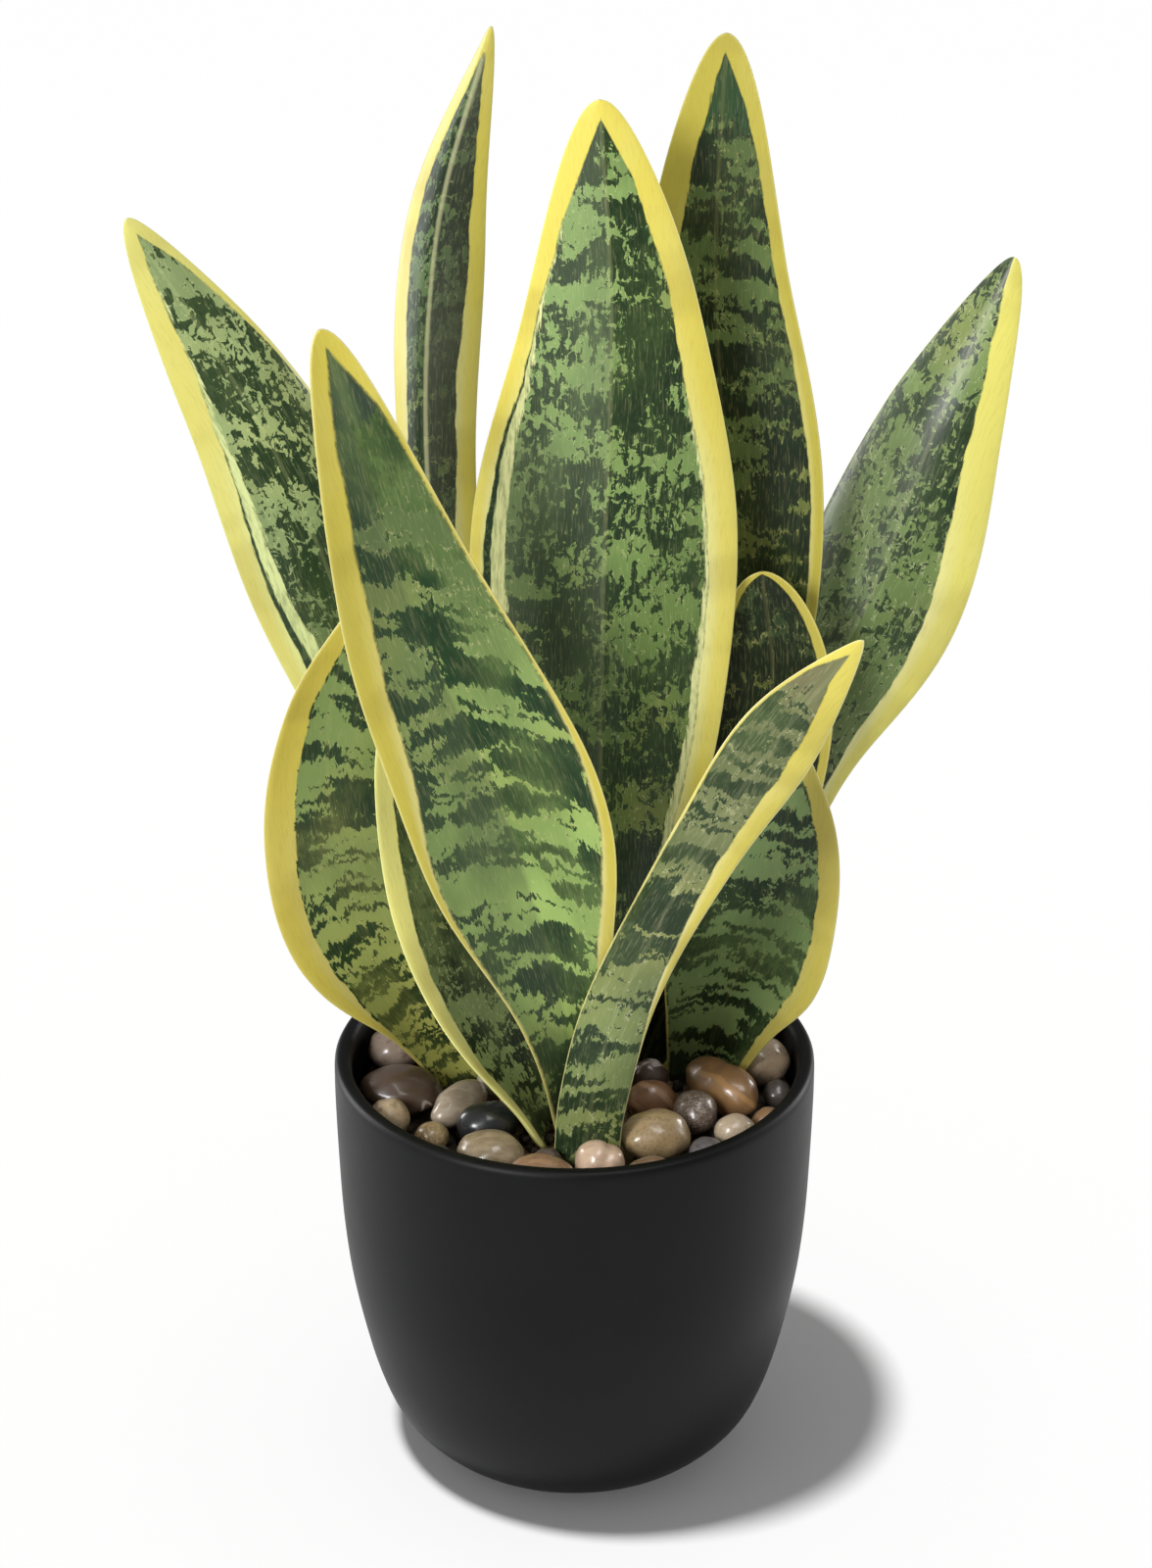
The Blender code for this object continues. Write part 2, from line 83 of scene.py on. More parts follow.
# The colours hold painted light as well as each leaf's own tone: leaf_right_middle has dark copies of its
# greens and yellow for the shade deep in the plant, leaf_front_left's dark green above is painted shade
# cast by leaf_front_broad, and the margins of leaf_front_broad, leaf_right_tall and leaf_right_low are
# darkened as painted shade. shade is painted shade near the base, and the values laid on one half of the
# blade are painted grey sheen on some leaves and painted shade on others.
LEAVES = {
    "leaf_center_broad": Leaf(
        spine=[(3.2, -6.8, 101.5), (6, -4, 149), (7, 3, 238), (9, 11, 308), (6, 18, 362)],
        widths=(18, 36, 61, 68, 46, 22),
        face=(0,),
        cup=(10, -10, -18, -15),
        fold=(0, -4, -6, -6),
        margins=((2.5, 3, 3.6, 4.2, 4.5, 4), (3, 5, 7, 8.3, 7.6, 4.6)),
        stripes=((2, 3.5, 3.2, 1.6, 0.2, 0), (0,)),
        pales=((2, 3, 4, 3.5, 0.8, 0), (2, 2.5, 2, 1, 0, 0)),
        light=(0.108, 0.175, 0.042),
        dark=(0.012, 0.03, 0.009),
        tip=(0.1, 0.15, 0.06),
        margin=(0.68, 0.58, 0.1),
        pale=(0.74, 0.74, 0.34),
        bands=0.7,
        flakes=1.1,
        cover=0.53,
        height=13,
        solid=2,
        rib=0.08,
        shade=0.12,
        bloom_left=0.14,
        light_above=(0.215, 0.325, 0.1),
        bloom=(0.26, 0.31, 0.2),
    ),
    "leaf_front_broad": Leaf(
        spine=[(1.7, -19.9, 101.5), (-2, -31, 140), (-17, -37, 201), (-39, -38, 257), (-58, -36, 323)],
        widths=(14, 26, 49, 44, 29, 9),
        face=(5, 15, 25),
        cup=(60, 30, 20),
        round_tip=45,
        margins=((0.3, 0.4, 0.6, 2.6, 6.8, 7.8, 6, 4.2), (2, 3, 4, 2.8, 0.9, 0.8, 1.2, 2.6)),
        light=(0.32, 0.46, 0.125),
        dark=(0.01, 0.036, 0.01),
        tip=(0.026, 0.046, 0.026),
        margin=(0.52, 0.44, 0.066),
        pale=(0.66, 0.62, 0.27),
        bands=1.6,
        flakes=0.45,
        cover=0.52,
        height=8.5,
        slant=0.4,
        solid=22,
        softness=0.6,
        dots=0.5,
        rib=0.02,
        shade=0.0,
        bloom_left=0.4,
        light_above=(0.105, 0.155, 0.05),
        bloom=(0.04, 0.06, 0.032),
    ),
    "leaf_left_outer": Leaf(
        spine=[(-30.4, 19, 101.5), (-37, 19, 158), (-55, 24, 217), (-76, 30, 271), (-110, 38, 327)],
        widths=(16, 22, 34, 43, 31, 7),
        face=(25,),
        cup=(-50, -45, -20),
        round_tip=45,
        margins=((4, 6, 6, 6.5, 6.5, 4), (0.4, 0.4, 0.4, 0.4, 1.2, 3)),
        stripes=((3, 3.5, 3, 1.0, 0, 0), (0,)),
        pales=((1.5, 2, 3, 3, 1, 0), (0,)),
        light=(0.085, 0.125, 0.04),
        dark=(0.02, 0.04, 0.015),
        tip=(0.06, 0.1, 0.045),
        margin=(0.58, 0.53, 0.135),
        pale=(0.62, 0.68, 0.3),
        bands=0.5,
        flakes=1.05,
        cover=0.5,
        height=15,
        slant=0.8,
        solid=4,
        rib=0.1,
        shade=0.15,
        light_above=(0.28, 0.36, 0.15),
    ),
    "leaf_left_thin": Leaf(
        spine=[(-13.5, 23.6, 101.5), (-26, 27, 179), (-36.5, 33, 255), (-34, 38, 321), (-20, 44, 373)],
        widths=(17, 20, 22.5, 26, 26, 5),
        face=(-16, -16, -18),
        cup=(-20, -10, -5),
        fold=(-22, -32, -32),
        round_tip=30,
        margins=((4, 5, 6, 6.5, 5.5, 2.5), (4, 5.5, 6.5, 6, 4.5, 2.5)),
        light=(0.05, 0.085, 0.028),
        dark=(0.01, 0.022, 0.008),
        tip=(0.04, 0.062, 0.028),
        margin=(0.52, 0.45, 0.08),
        pale=(0.5, 0.5, 0.26),
        bands=0.55,
        flakes=1.1,
        cover=0.56,
        height=5,
        slant=-0.5,
        solid=10,
        rib=0.45,
        bloom_right=0.5,
        light_above=(0.075, 0.125, 0.042),
        bloom=(0.06, 0.062, 0.045),
    ),
    "leaf_right_tall": Leaf(
        spine=[(8.8, 26, 101.5), (24, 26, 159), (37, 32, 246), (35, 40, 316), (37, 46, 371)],
        widths=(18, 34, 52, 51, 36, 20),
        face=(-5, -10, -10),
        cup=(10, 8, 12),
        margins=((3, 5, 6, 7, 8, 5), (2, 3, 3.2, 3.2, 3.4, 3.5)),
        light=(0.06, 0.085, 0.022),
        dark=(0.008, 0.018, 0.006),
        tip=(0.018, 0.05, 0.018),
        margin=(0.43, 0.37, 0.055),
        pale=(0.58, 0.54, 0.2),
        bands=1.5,
        flakes=0.75,
        cover=0.56,
        height=6.5,
        solid=21,
        rib=0.06,
        shade=0.15,
        light_above=(0.095, 0.145, 0.04),
    ),
    "leaf_right_outer": Leaf(
        spine=[(33.6, 26, 101.5), (50, 26, 178), (74, 31, 226), (92, 38, 275), (110, 48, 314)],
        widths=(16, 28, 38, 48, 34, 8),
        face=(-25, -25, -30),
        cup=(-50, -40, -30),
        round_tip=45,
        margins=((0.1,), (2.5, 3.5, 5, 9.5, 8, 4.5)),
        light=(0.085, 0.125, 0.042),
        dark=(0.013, 0.03, 0.011),
        tip=(0.05, 0.08, 0.04),
        margin=(0.66, 0.61, 0.14),
        pale=(0.74, 0.74, 0.42),
        bands=0.5,
        flakes=1.0,
        cover=0.51,
        height=10,
        solid=3,
        point=-4,
        rib=0.08,
        shade=0.15,
        bloom_left=0.12,
        light_above=(0.17, 0.25, 0.075),
        bloom=(0.12, 0.12, 0.11),
    ),
    "leaf_left_low": Leaf(
        spine=[
            (-28.4, 8.1, 101.5), (-39, 1, 125), (-52, -7, 151),
            (-60, -14, 186), (-60, -17, 218), (-52, -20, 250),
        ],
        widths=(14, 24, 41, 37, 24, 5),
        face=(15,),
        cup=(50, 25, 15),
        margins=((0.2, 1.5, 7.5, 8.2, 7, 5), (0.5,)),
        light=(0.5, 0.51, 0.125),
        dark=(0.018, 0.044, 0.013),
        tip=(0.05, 0.08, 0.03),
        margin=(0.64, 0.53, 0.085),
        pale=(0.6, 0.55, 0.22),
        bands=1.5,
        flakes=0.4,
        cover=0.45,
        height=5.2,
        slant=0.15,
        solid=6,
        dots=1.0,
        rib=0.05,
        light_above=(0.2, 0.285, 0.085),
    ),
    "leaf_front_left": Leaf(
        spine=[
            (-8.7, -20.7, 101.5), (-13, -21.5, 112), (-25, -21, 138),
            (-34, -20, 170), (-39.5, -19, 200), (-45, -18, 232),
        ],
        widths=(16, 24, 28, 27, 21, 4),
        face=(85, 45, 28, 25),
        cup=(45, 20, 12, 12),
        margins=((1.5, 3.6, 5, 5.2, 5, 3), (0,)),
        light=(0.5, 0.64, 0.22),
        dark=(0.012, 0.026, 0.008),
        tip=(0.04, 0.06, 0.03),
        margin=(0.88, 0.82, 0.24),
        pale=(0.8, 0.82, 0.36),
        bands=0.7,
        flakes=0.9,
        cover=0.55,
        height=9,
        slant=0.4,
        solid=6,
        rib=0.0,
        shade=0.0,
        # Darker green above: painted shade cast by leaf_front_broad.
        light_above=(0.06, 0.09, 0.03),
    ),
    "leaf_front_small": Leaf(
        spine=[
            (2.8, -35.3, 101.5), (4.5, -37, 121), (11.5, -41, 152),
            (27, -48.5, 190), (46, -56, 227), (66, -64, 258),
        ],
        widths=(17, 17.5, 17, 18.5, 20, 4),
        face=(170, 160, 150),
        cup=(12, 30, 22),
        round_tip=40,
        margins=((0.2, 0.3, 2.4, 4.6, 5.4, 4), (0.3, 0.4, 0.7, 1.0, 1.0, 1.2)),
        light=(0.2, 0.26, 0.09),
        dark=(0.022, 0.042, 0.016),
        tip=(0.14, 0.135, 0.065),
        margin=(0.6, 0.52, 0.1),
        pale=(0.8, 0.78, 0.45),
        bands=1.4,
        flakes=0.6,
        cover=0.54,
        height=5.5,
        slant=0.5,
        solid=22,
        rib=0.05,
        light_above=(0.15, 0.17, 0.07),
    ),
    "leaf_right_low": Leaf(
        spine=[(32.7, 8, 101.5), (39, -2, 130), (46, -12, 156), (52, -20, 187), (54, -23, 217)],
        widths=(18, 29, 41, 37, 25, 5),
        face=(-10,),
        cup=(50, 25, 15),
        margins=((0.5,), (1, 3.2, 5.5, 6, 5.5, 3)),
        light=(0.22, 0.31, 0.11),
        dark=(0.012, 0.03, 0.01),
        tip=(0.05, 0.08, 0.03),
        margin=(0.48, 0.41, 0.08),
        pale=(0.5, 0.47, 0.18),
        bands=1.5,
        flakes=0.5,
        cover=0.52,
        height=5.6,
        slant=-0.2,
        solid=4,
        dots=0.8,
        rib=0.05,
        shade=0.05,
        light_above=(0.18, 0.27, 0.095),
    ),
    "leaf_right_middle": Leaf(
        spine=[(18, 17.6, 101.5), (31, 12, 139), (43, 10, 178), (50, 12, 212), (47, 15, 243)],
        widths=(14, 26, 33, 36, 32, 24),
        face=(-10,),
        cup=(50, 25, 15),
        margins=((1.2, 1.6, 1.8, 2, 2.2, 2.4), (1.5, 2, 2.4, 2.6, 2.5, 2.6)),
        # Greens and yellow darkened as painted shade: this leaf stands deep in the plant.
        light=(0.02, 0.035, 0.012),
        dark=(0.006, 0.012, 0.004),
        tip=(0.01, 0.02, 0.008),
        margin=(0.45, 0.38, 0.06),
        pale=(0.58, 0.54, 0.2),
        bands=0.9,
        flakes=0.7,
        cover=0.6,
        height=8,
        solid=0,
        rib=0.05,
        shade=0.2,
        light_above=(0.03, 0.052, 0.017),
        point=-20,
    ),
}


def smooth_line(points):
    """Closely spaced points along a smooth curve through points, and how far along it each one is."""
    control = np.array(points, float)
    control = np.vstack([2 * control[0] - control[1], control, 2 * control[-1] - control[-2]])
    fine = []
    for i in range(1, len(control) - 2):
        a, b, c, d = control[i - 1 : i + 3]
        for t in np.linspace(0, 1, 24, endpoint=False):
            squared, cubed = (2 * a - 5 * b + 4 * c - d) * t * t, (3 * b - a - 3 * c + d) * t**3
            fine.append(0.5 * (2 * b + (c - a) * t + squared + cubed))
    fine = np.array(fine + [control[-2]])
    along = np.concatenate([[0], np.cumsum(np.linalg.norm(np.diff(fine, axis=0), axis=1))])
    return fine, along


def eased(values, share):
    """The value at share (0 to 1) of a smooth curve through evenly spaced values."""
    if len(values) == 1:
        return values[0] + 0 * share
    fine, _ = smooth_line([(place, value) for place, value in zip(np.linspace(0, 1, len(values)), values)])
    return np.interp(share, fine[:, 0], fine[:, 1])


def half_width(leaf, share):
    """Half the blade's width at share of its length, rounded off at the tip."""
    return eased(leaf.widths, share) / 2 * (1 - np.clip(share, 0, 1) ** leaf.round_tip) ** 0.5


def blade(leaf, shares, across):
    """The blade's middle surface and its normals.

    shares are shares of the blade's length, and across are places across it, from -1 to 1.
    """
    fine, along = smooth_line(leaf.spine)
    length = along[-1]

    def midrib(places):
        return np.stack([np.interp(places * length, along, fine[:, k]) for k in range(3)], 1)

    middle = midrib(shares)
    tangent = midrib(np.minimum(shares + 0.01, 1)) - midrib(np.maximum(shares - 0.01, 0))
    tangent /= np.linalg.norm(tangent, axis=1, keepdims=True)
    azimuth = np.radians(eased(leaf.face, shares))
    facing = np.stack([np.sin(azimuth), -np.cos(azimuth), 0 * azimuth], 1)
    facing -= tangent * (facing * tangent).sum(1, keepdims=True)
    facing /= np.linalg.norm(facing, axis=1, keepdims=True)
    side = np.cross(tangent, facing)

    half = half_width(leaf, shares)[:, None]
    bend = np.radians(eased(leaf.cup, shares))[:, None]
    bend = np.where(np.abs(bend) < 1e-3, 1e-3, bend)
    fold = np.radians(eased(leaf.fold, shares))[:, None]
    a = across[None, :]
    sideways = half * np.sin(a * bend) / bend
    forward = half * (1 - np.cos(a * bend)) / bend
    soft = np.sqrt(a * a + 0.01) - 0.1
    side_folded = sideways * np.cos(fold) - np.sign(a) * forward * np.sin(fold)
    forward_folded = forward * np.cos(fold) + half * soft * np.sin(fold)
    amount, waves, phase = leaf.ripple
    wave = amount * np.sin(2 * math.pi * (waves * shares[:, None] + phase + 0.3 * np.sign(a)))
    forward_folded = forward_folded + wave * np.abs(a) ** 2.5 * np.minimum(1, 4 * (1 - shares[:, None]))
    points = middle[:, None] + side[:, None] * side_folded[..., None]
    points = points + facing[:, None] * forward_folded[..., None]

    turn = a * bend + np.sign(a) * fold * np.minimum(1, np.abs(a) * 8)
    normals = facing[:, None] * np.cos(turn)[..., None] - side[:, None] * np.sin(turn)[..., None]
    return points, normals


def blade_thickness(share, across):
    """How thick a blade is: thickest at the midrib and towards the base, and rounded off at its edges."""
    middle = 1.2 + 2.0 * (1 - share) ** 1.2
    edge = 0.7 + 0.4 * (1 - share)
    flat = edge + (middle - edge) * (1 - across**2)
    return flat * np.sqrt(np.clip(1 - np.abs(across) ** 24, 0.09, 1))


def grow_leaf(name, leaf, rows=90, columns=24):
    """A leaf's mesh, with the millimetre distances that its markings are laid out by."""
    shares = 1 - (1 - np.linspace(0, 1, rows + 1)[:-1]) ** 1.6
    shares = np.append(shares, 0.9999)
    across = np.sin(np.linspace(-1, 1, columns + 1) * math.pi / 2)
    points, normals = blade(leaf, shares, across)
    half_thick = blade_thickness(shares[:, None], across[None, :])[..., None] / 2
    front, back = points + normals * half_thick, points - normals * half_thick
    rings = np.concatenate([front, back[:, ::-1]], axis=1)
    rise = rings[1] - rings[0]
    rings[0] += rise * ((leaf.spine[0][2] - rings[0][:, 2]) / rise[:, 2])[:, None]

    count, around = rings.shape[:2]
    points = [Vector(p) * MM for ring in rings for p in ring]
    faces = []
    for i in range(count - 1):
        for j in range(around):
            k = (j + 1) % around
            faces.append((i * around + j, i * around + k, (i + 1) * around + k, (i + 1) * around + j))
    faces.append(tuple(reversed(range(around))))
    faces.append(tuple((count - 1) * around + j for j in range(around)))

    _, along = smooth_line(leaf.spine)
    length = along[-1]
    a = np.concatenate([across, across[::-1]])[None, :]
    half = half_width(leaf, shares)[:, None]
    share = shares[:, None]
    rightness = np.clip(a * 4 + 0.5, 0, 1)

    def across_both(sides):
        left, right = sides
        return eased(left, share) * (1 - rightness) + eased(right, share) * rightness

    marks = {
        "across_mm": a * half,
        "along_mm": share * length + 0 * a,
        "edge_mm": (1 - np.abs(a)) * half,
        "tip_mm": (1 - share) * length + 0 * a,
        "margin_mm": np.maximum(across_both(leaf.margins), 0),
        "stripe_mm": np.maximum(across_both(leaf.stripes), 0),
        "pale_mm": np.maximum(across_both(leaf.pales), 0),
    }
    piece = make_piece(name + "_blade", points, faces)
    for mark, values in marks.items():
        layer = piece.data.attributes.new(mark, "FLOAT", "POINT")
        layer.data.foreach_set("value", np.broadcast_to(values, (count, around)).astype(np.float32).ravel())
    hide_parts(name)
    return piece


def make_piece(name, points, faces, body="root"):
    """A smooth-shaded mesh object that rides on a body."""
    mesh = bpy.data.meshes.new(name)
    mesh.from_pydata(points, [], faces)
    mesh.validate()
    bm = bmesh.new()
    bm.from_mesh(mesh)
    bmesh.ops.recalc_face_normals(bm, faces=bm.faces)
    bm.to_mesh(mesh)
    bm.free()
    for polygon in mesh.polygons:
        polygon.use_smooth = True
    piece = bpy.data.objects.new(name, mesh)
    bpy.context.scene.collection.objects.link(piece)
    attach(piece, body)
    return piece


# ---------------------------------------------------------------- shader building


class Nodes:
    """Short calls for the nodes of one tree."""

    def __init__(self, tree):
        self.tree = tree

    def add(self, kind, **settings):
        node = self.tree.nodes.new(kind)
        for key, value in settings.items():
            setattr(node, key, value)
        return node

    def feed(self, socket, value):
        if isinstance(value, bpy.types.NodeSocket):
            self.tree.links.new(value, socket)
        elif value is not None:
            socket.default_value = value

    def math(self, operation, a, b=None, c=None, clamp=False):
        node = self.add("ShaderNodeMath", operation=operation, use_clamp=clamp)
        for socket, value in zip(node.inputs, (a, b, c)):
            self.feed(socket, value)
        return node.outputs[0]

    def join(self, x, y, z=0.0):
        node = self.add("ShaderNodeCombineXYZ")
        for socket, value in zip(node.inputs, (x, y, z)):
            self.feed(socket, value)
        return node.outputs[0]

    def noise(self, vector, scale=1.0, detail=2.0, roughness=0.5, distortion=0.0):
        node = self.add("ShaderNodeTexNoise")
        self.feed(node.inputs["Vector"], vector)
        node.inputs["Scale"].default_value = scale
        node.inputs["Detail"].default_value = detail
        node.inputs["Roughness"].default_value = roughness
        node.inputs["Distortion"].default_value = distortion
        return node.outputs["Fac"]

    def step(self, value, low, high, smooth=True):
        """0 below low, 1 above high, and a ramp between."""
        node = self.add("ShaderNodeMapRange", interpolation_type="SMOOTHSTEP" if smooth else "LINEAR")
        self.feed(node.inputs["Value"], value)
        self.feed(node.inputs["From Min"], low)
        self.feed(node.inputs["From Max"], high)
        return node.outputs["Result"]

    def mix(self, share, a, b, blend="MIX"):
        node = self.add("ShaderNodeMix", data_type="RGBA", blend_type=blend, clamp_factor=True)
        self.feed(node.inputs[0], share)
        self.feed(node.inputs[6], a)
        self.feed(node.inputs[7], b)
        return node.outputs[2]

    def mark(self, name):
        return self.add("ShaderNodeAttribute", attribute_name=name).outputs["Fac"]

    def bump(self, surface, height, strength, distance):
        """Raise and sink the surface by a height; distance is in metres."""
        node = self.add("ShaderNodeBump")
        node.inputs["Strength"].default_value = strength
        node.inputs["Distance"].default_value = distance
        self.feed(node.inputs["Height"], height)
        self.feed(surface["Normal"], node.outputs["Normal"])

    def place(self):
        return self.add("ShaderNodeTexCoord").outputs["Object"]


def new_group(name, inputs, outputs):
    """A shader node group with named inputs {name: default} and outputs {name: kind}."""
    group = bpy.data.node_groups.new(name, "ShaderNodeTree")
    for key, value in inputs.items():
        kind = "NodeSocketColor" if isinstance(value, tuple) else "NodeSocketFloat"
        group.interface.new_socket(key, in_out="INPUT", socket_type=kind).default_value = value
    for key, kind in outputs.items():
        group.interface.new_socket(key, in_out="OUTPUT", socket_type="NodeSocket" + kind)
    n = Nodes(group)
    into, out = n.add("NodeGroupInput"), n.add("NodeGroupOutput")
    return group, n, into.outputs, out.inputs


def new_material(name, **constants):
    """A Principled material; constants are set on the shader's own sockets."""
    material = bpy.data.materials.new(name)
    material.use_nodes = True
    shader = material.node_tree.nodes["Principled BSDF"]
    for key, value in constants.items():
        shader.inputs[key.replace("_", " ")].default_value = value
    return material, Nodes(material.node_tree), shader.inputs


def rgb(r, g, b):
    return (r, g, b, 1.0)


# ---------------------------------------------------------------- leaf colouring


def leaf_marking_group():
    """The variegation: yellow margins, a plain tip, and dark bands and flakes over light green; with
    painted shade, painted sheen and a painted highlight on the tip.
    """
    group, n, given, out = new_group(
        "leaf_variegation_and_painted_light",
        {
            "Light": rgb(0.2, 0.28, 0.1),
            "Light above": rgb(0.2, 0.28, 0.1),
            "Dark": rgb(0.03, 0.06, 0.02),
            "Tip": rgb(0.05, 0.09, 0.045),
            "Margin": rgb(0.75, 0.65, 0.13),
            "Pale": rgb(0.6, 0.6, 0.3),
            "Bands": 1.0,
            "Flakes": 0.5,
            "Cover": 0.5,
            "Height": 9.0,
            "Slant": 0.0,
            "Solid": 12.0,
            "Point": 4.5,
            "Softness": 0.2,
            "Dots": 0.3,
            "Rib": 0.1,
            "Shade": 0.0,
            # Painted sheen and shade: its colour, and how much of it lies on each half of the blade.
            "Bloom": rgb(0.1, 0.11, 0.07),
            "Bloom left": 0.0,
            "Bloom right": 0.0,
            "Seed": 0.0,
        },
        {"Color": "Color", "Height": "Float", "Wax": "Float"},
    )
    x, y, edge = n.mark("across_mm"), n.mark("along_mm"), n.mark("edge_mm")
    margin, stripe = n.mark("margin_mm"), n.mark("stripe_mm")
    pale, tip = n.mark("pale_mm"), n.mark("tip_mm")
    seed = given["Seed"]
    aside = n.math("ABSOLUTE", x)

    def field(per_x, per_y, shift, detail, rough, distortion=0.0, height=None):
        """Noise over the blade, centred on zero: per_x and per_y are its waves per millimetre."""
        up = n.math("MULTIPLY", y if height is None else height, per_y)
        at = n.join(n.math("MULTIPLY", x, per_x), up, n.math("ADD", seed, shift))
        return n.math("SUBTRACT", n.noise(at, 1.0, detail, rough, distortion), 0.5)

    # Combed jitter: every boundary that crosses the blade is torn into teeth that run along it.
    comb = field(0.85, 0.13, 0.0, 3, 0.7)
    fibre = field(2.4, 0.22, 4.0, 2, 0.6)
    wash = field(0.05, 0.028, 8.0, 2, 0.5)
    patch = field(0.03, 0.02, 12.0, 1, 0.5)
    level = n.math("ADD", y, n.math("MULTIPLY", x, given["Slant"]))
    level = n.math("ADD", level, n.math("MULTIPLY", aside, 0.16))
    level = n.math("ADD", level, n.math("MULTIPLY", comb, 7.0))
    level = n.math("ADD", level, n.math("MULTIPLY", field(0.11, 0.06, 16.0, 2, 0.5), 9.0))
    level = n.math("DIVIDE", level, given["Height"])

    band = field(0.045, 1.0, 20.0, 1.5, 0.45, 0.3, level)
    narrow = field(0.07, 2.6, 24.0, 1, 0.5, 0.4, level)
    flake = field(0.42, 0.33, 28.0, 4, 0.66, 0.9)
    speck = field(1.0, 0.6, 32.0, 2, 0.6)
    teeth = field(0.6, 1.6, 36.0, 2, 0.6, 0.3, level)

    dark_share = n.math("MULTIPLY", n.math("ADD", band, n.math("MULTIPLY", narrow, 0.55)), given["Bands"])
    dark_share = n.math("ADD", dark_share, n.math("MULTIPLY", flake, given["Flakes"]))
    dark_share = n.math("ADD", dark_share, n.math("MULTIPLY", teeth, 0.5))
    dark_share = n.math("ADD", dark_share, n.math("MULTIPLY", speck, 0.2))
    dark_share = n.math("ADD", dark_share, n.math("MULTIPLY", patch, 0.35))
    over = n.math("ADD", dark_share, n.math("MULTIPLY", n.math("SUBTRACT", given["Cover"], 0.5), 0.9))
    # Painted shade: Shade spreads the dark marks over more of the lower blade, towards the crowded base.
    painted_shade_low = n.math("SUBTRACT", 1.0, n.step(y, 10.0, 125.0))
    over = n.math("ADD", over, n.math("MULTIPLY", painted_shade_low, given["Shade"]))
    dark = n.step(over, -0.01, 0.012)

    # The light green drifts, with pale flecks beside the dark; the dark green drifts too.
    # The light green runs from Light above near the tip to Light lower down; on some leaves these hold
    # painted shade.
    green_along_blade = n.mix(n.step(tip, 40.0, 170.0), given["Light above"], given["Light"])
    light = n.mix(n.step(wash, -0.14, 0.14), green_along_blade, n.mix(0.3, green_along_blade, given["Dark"]))
    light = n.mix(n.math("MULTIPLY", n.step(patch, 0.0, 0.16), 0.1), light, given["Margin"])
    fleck = n.math("MULTIPLY", n.step(over, -0.1, -0.02), n.step(speck, 0.02, 0.12))
    light = n.mix(n.math("MULTIPLY", fleck, 0.3), light, given["Pale"])
    deep = n.mix(n.step(wash, -0.1, 0.16), given["Dark"], n.mix(0.22, given["Dark"], given["Light"]))
    darkest = n.mix(0.5, given["Dark"], rgb(0.0, 0.0, 0.0))
    deep = n.mix(n.math("MULTIPLY", n.step(over, 0.1, 0.3), 0.4), deep, darkest)
    green = n.mix(dark, light, deep)

    # The plain tip ends in a broken edge, and has a painted highlight down its middle.
    from_tip = n.math("ADD", tip, n.math("MULTIPLY", comb, 26.0))
    from_tip = n.math("ADD", from_tip, n.math("MULTIPLY", flake, 16.0))
    plain = n.math("SUBTRACT", 1.0, n.step(from_tip, given["Solid"], n.math("ADD", given["Solid"], 1.2)))
    painted_tip_highlight = n.math("SUBTRACT", 1.0, n.step(aside, 0.5, 4.0))
    plain_tip = n.mix(n.math("MULTIPLY", painted_tip_highlight, 0.18), given["Tip"], given["Light"])
    green = n.mix(plain, green, plain_tip)

    # Painted sheen and shade on one half of the blade: a grey sheen on some leaves, a darker grey-green
    # shade on others.
    on_right = n.step(x, -0.8, 0.8)
    bloom = n.math("MULTIPLY", on_right, given["Bloom right"])
    on_left = n.math("SUBTRACT", 1.0, on_right)
    bloom = n.math("ADD", bloom, n.math("MULTIPLY", on_left, given["Bloom left"]))
    bloom = n.math("MULTIPLY", bloom, n.math("ADD", n.math("MULTIPLY", wash, 2.0), 1.0))
    green = n.mix(bloom, green, given["Bloom"])

    # The midrib, and fine fibres along the blade.
    rib = n.math("SUBTRACT", 1.0, n.step(aside, 0.15, 0.8))
    green = n.mix(n.math("MULTIPLY", rib, given["Rib"]), green, given["Pale"])
    green = n.mix(n.math("MULTIPLY", n.step(fibre, 0.0, 0.22), 0.1), green, given["Pale"])

    # From the edge inwards: yellow margin, dark stripe, pale stripe, field.
    wander = field(0.01, 0.045, 40.0, 2, 0.5)
    fray = n.math("ADD", n.math("MULTIPLY", comb, 1.3), n.math("MULTIPLY", wander, 3.0))
    fray = n.math("MULTIPLY", fray, n.math("ADD", n.math("MULTIPLY", n.step(margin, 0.5, 5.0), 0.9), 0.1))
    inside = n.math("ADD", n.math("SUBTRACT", edge, margin), fray)
    wedge = n.math("SUBTRACT", n.math("MULTIPLY", n.math("SUBTRACT", tip, given["Point"]), 0.46), aside)
    core = n.math("MINIMUM", inside, wedge)
    soft = given["Softness"]
    is_green = n.step(core, n.math("MULTIPLY", soft, -1.0), soft)
    past_stripe = n.math("SUBTRACT", n.math("ADD", core, n.math("MULTIPLY", fibre, 1.2)), stripe)
    past_pale = n.math("SUBTRACT", n.math("ADD", past_stripe, n.math("MULTIPLY", comb, 2.4)), pale)
    beyond_stripe = n.step(past_stripe, -0.25, 0.25)
    beyond_pale = n.step(past_pale, -0.3, 0.3)
    in_stripe = n.math("MULTIPLY", n.step(stripe, 0.1, 0.5), n.math("SUBTRACT", 1.0, beyond_stripe))
    in_pale = n.math("MULTIPLY", n.step(pale, 0.1, 0.5), n.math("SUBTRACT", beyond_stripe, beyond_pale))
    pale_green = n.mix(n.step(comb, -0.1, 0.16), given["Pale"], n.mix(0.5, given["Pale"], given["Light"]))
    green = n.mix(n.math("MULTIPLY", in_pale, 0.9), green, pale_green)
    stripe_green = n.mix(n.step(flake, 0.02, 0.1), given["Dark"], n.mix(0.5, given["Dark"], given["Light"]))
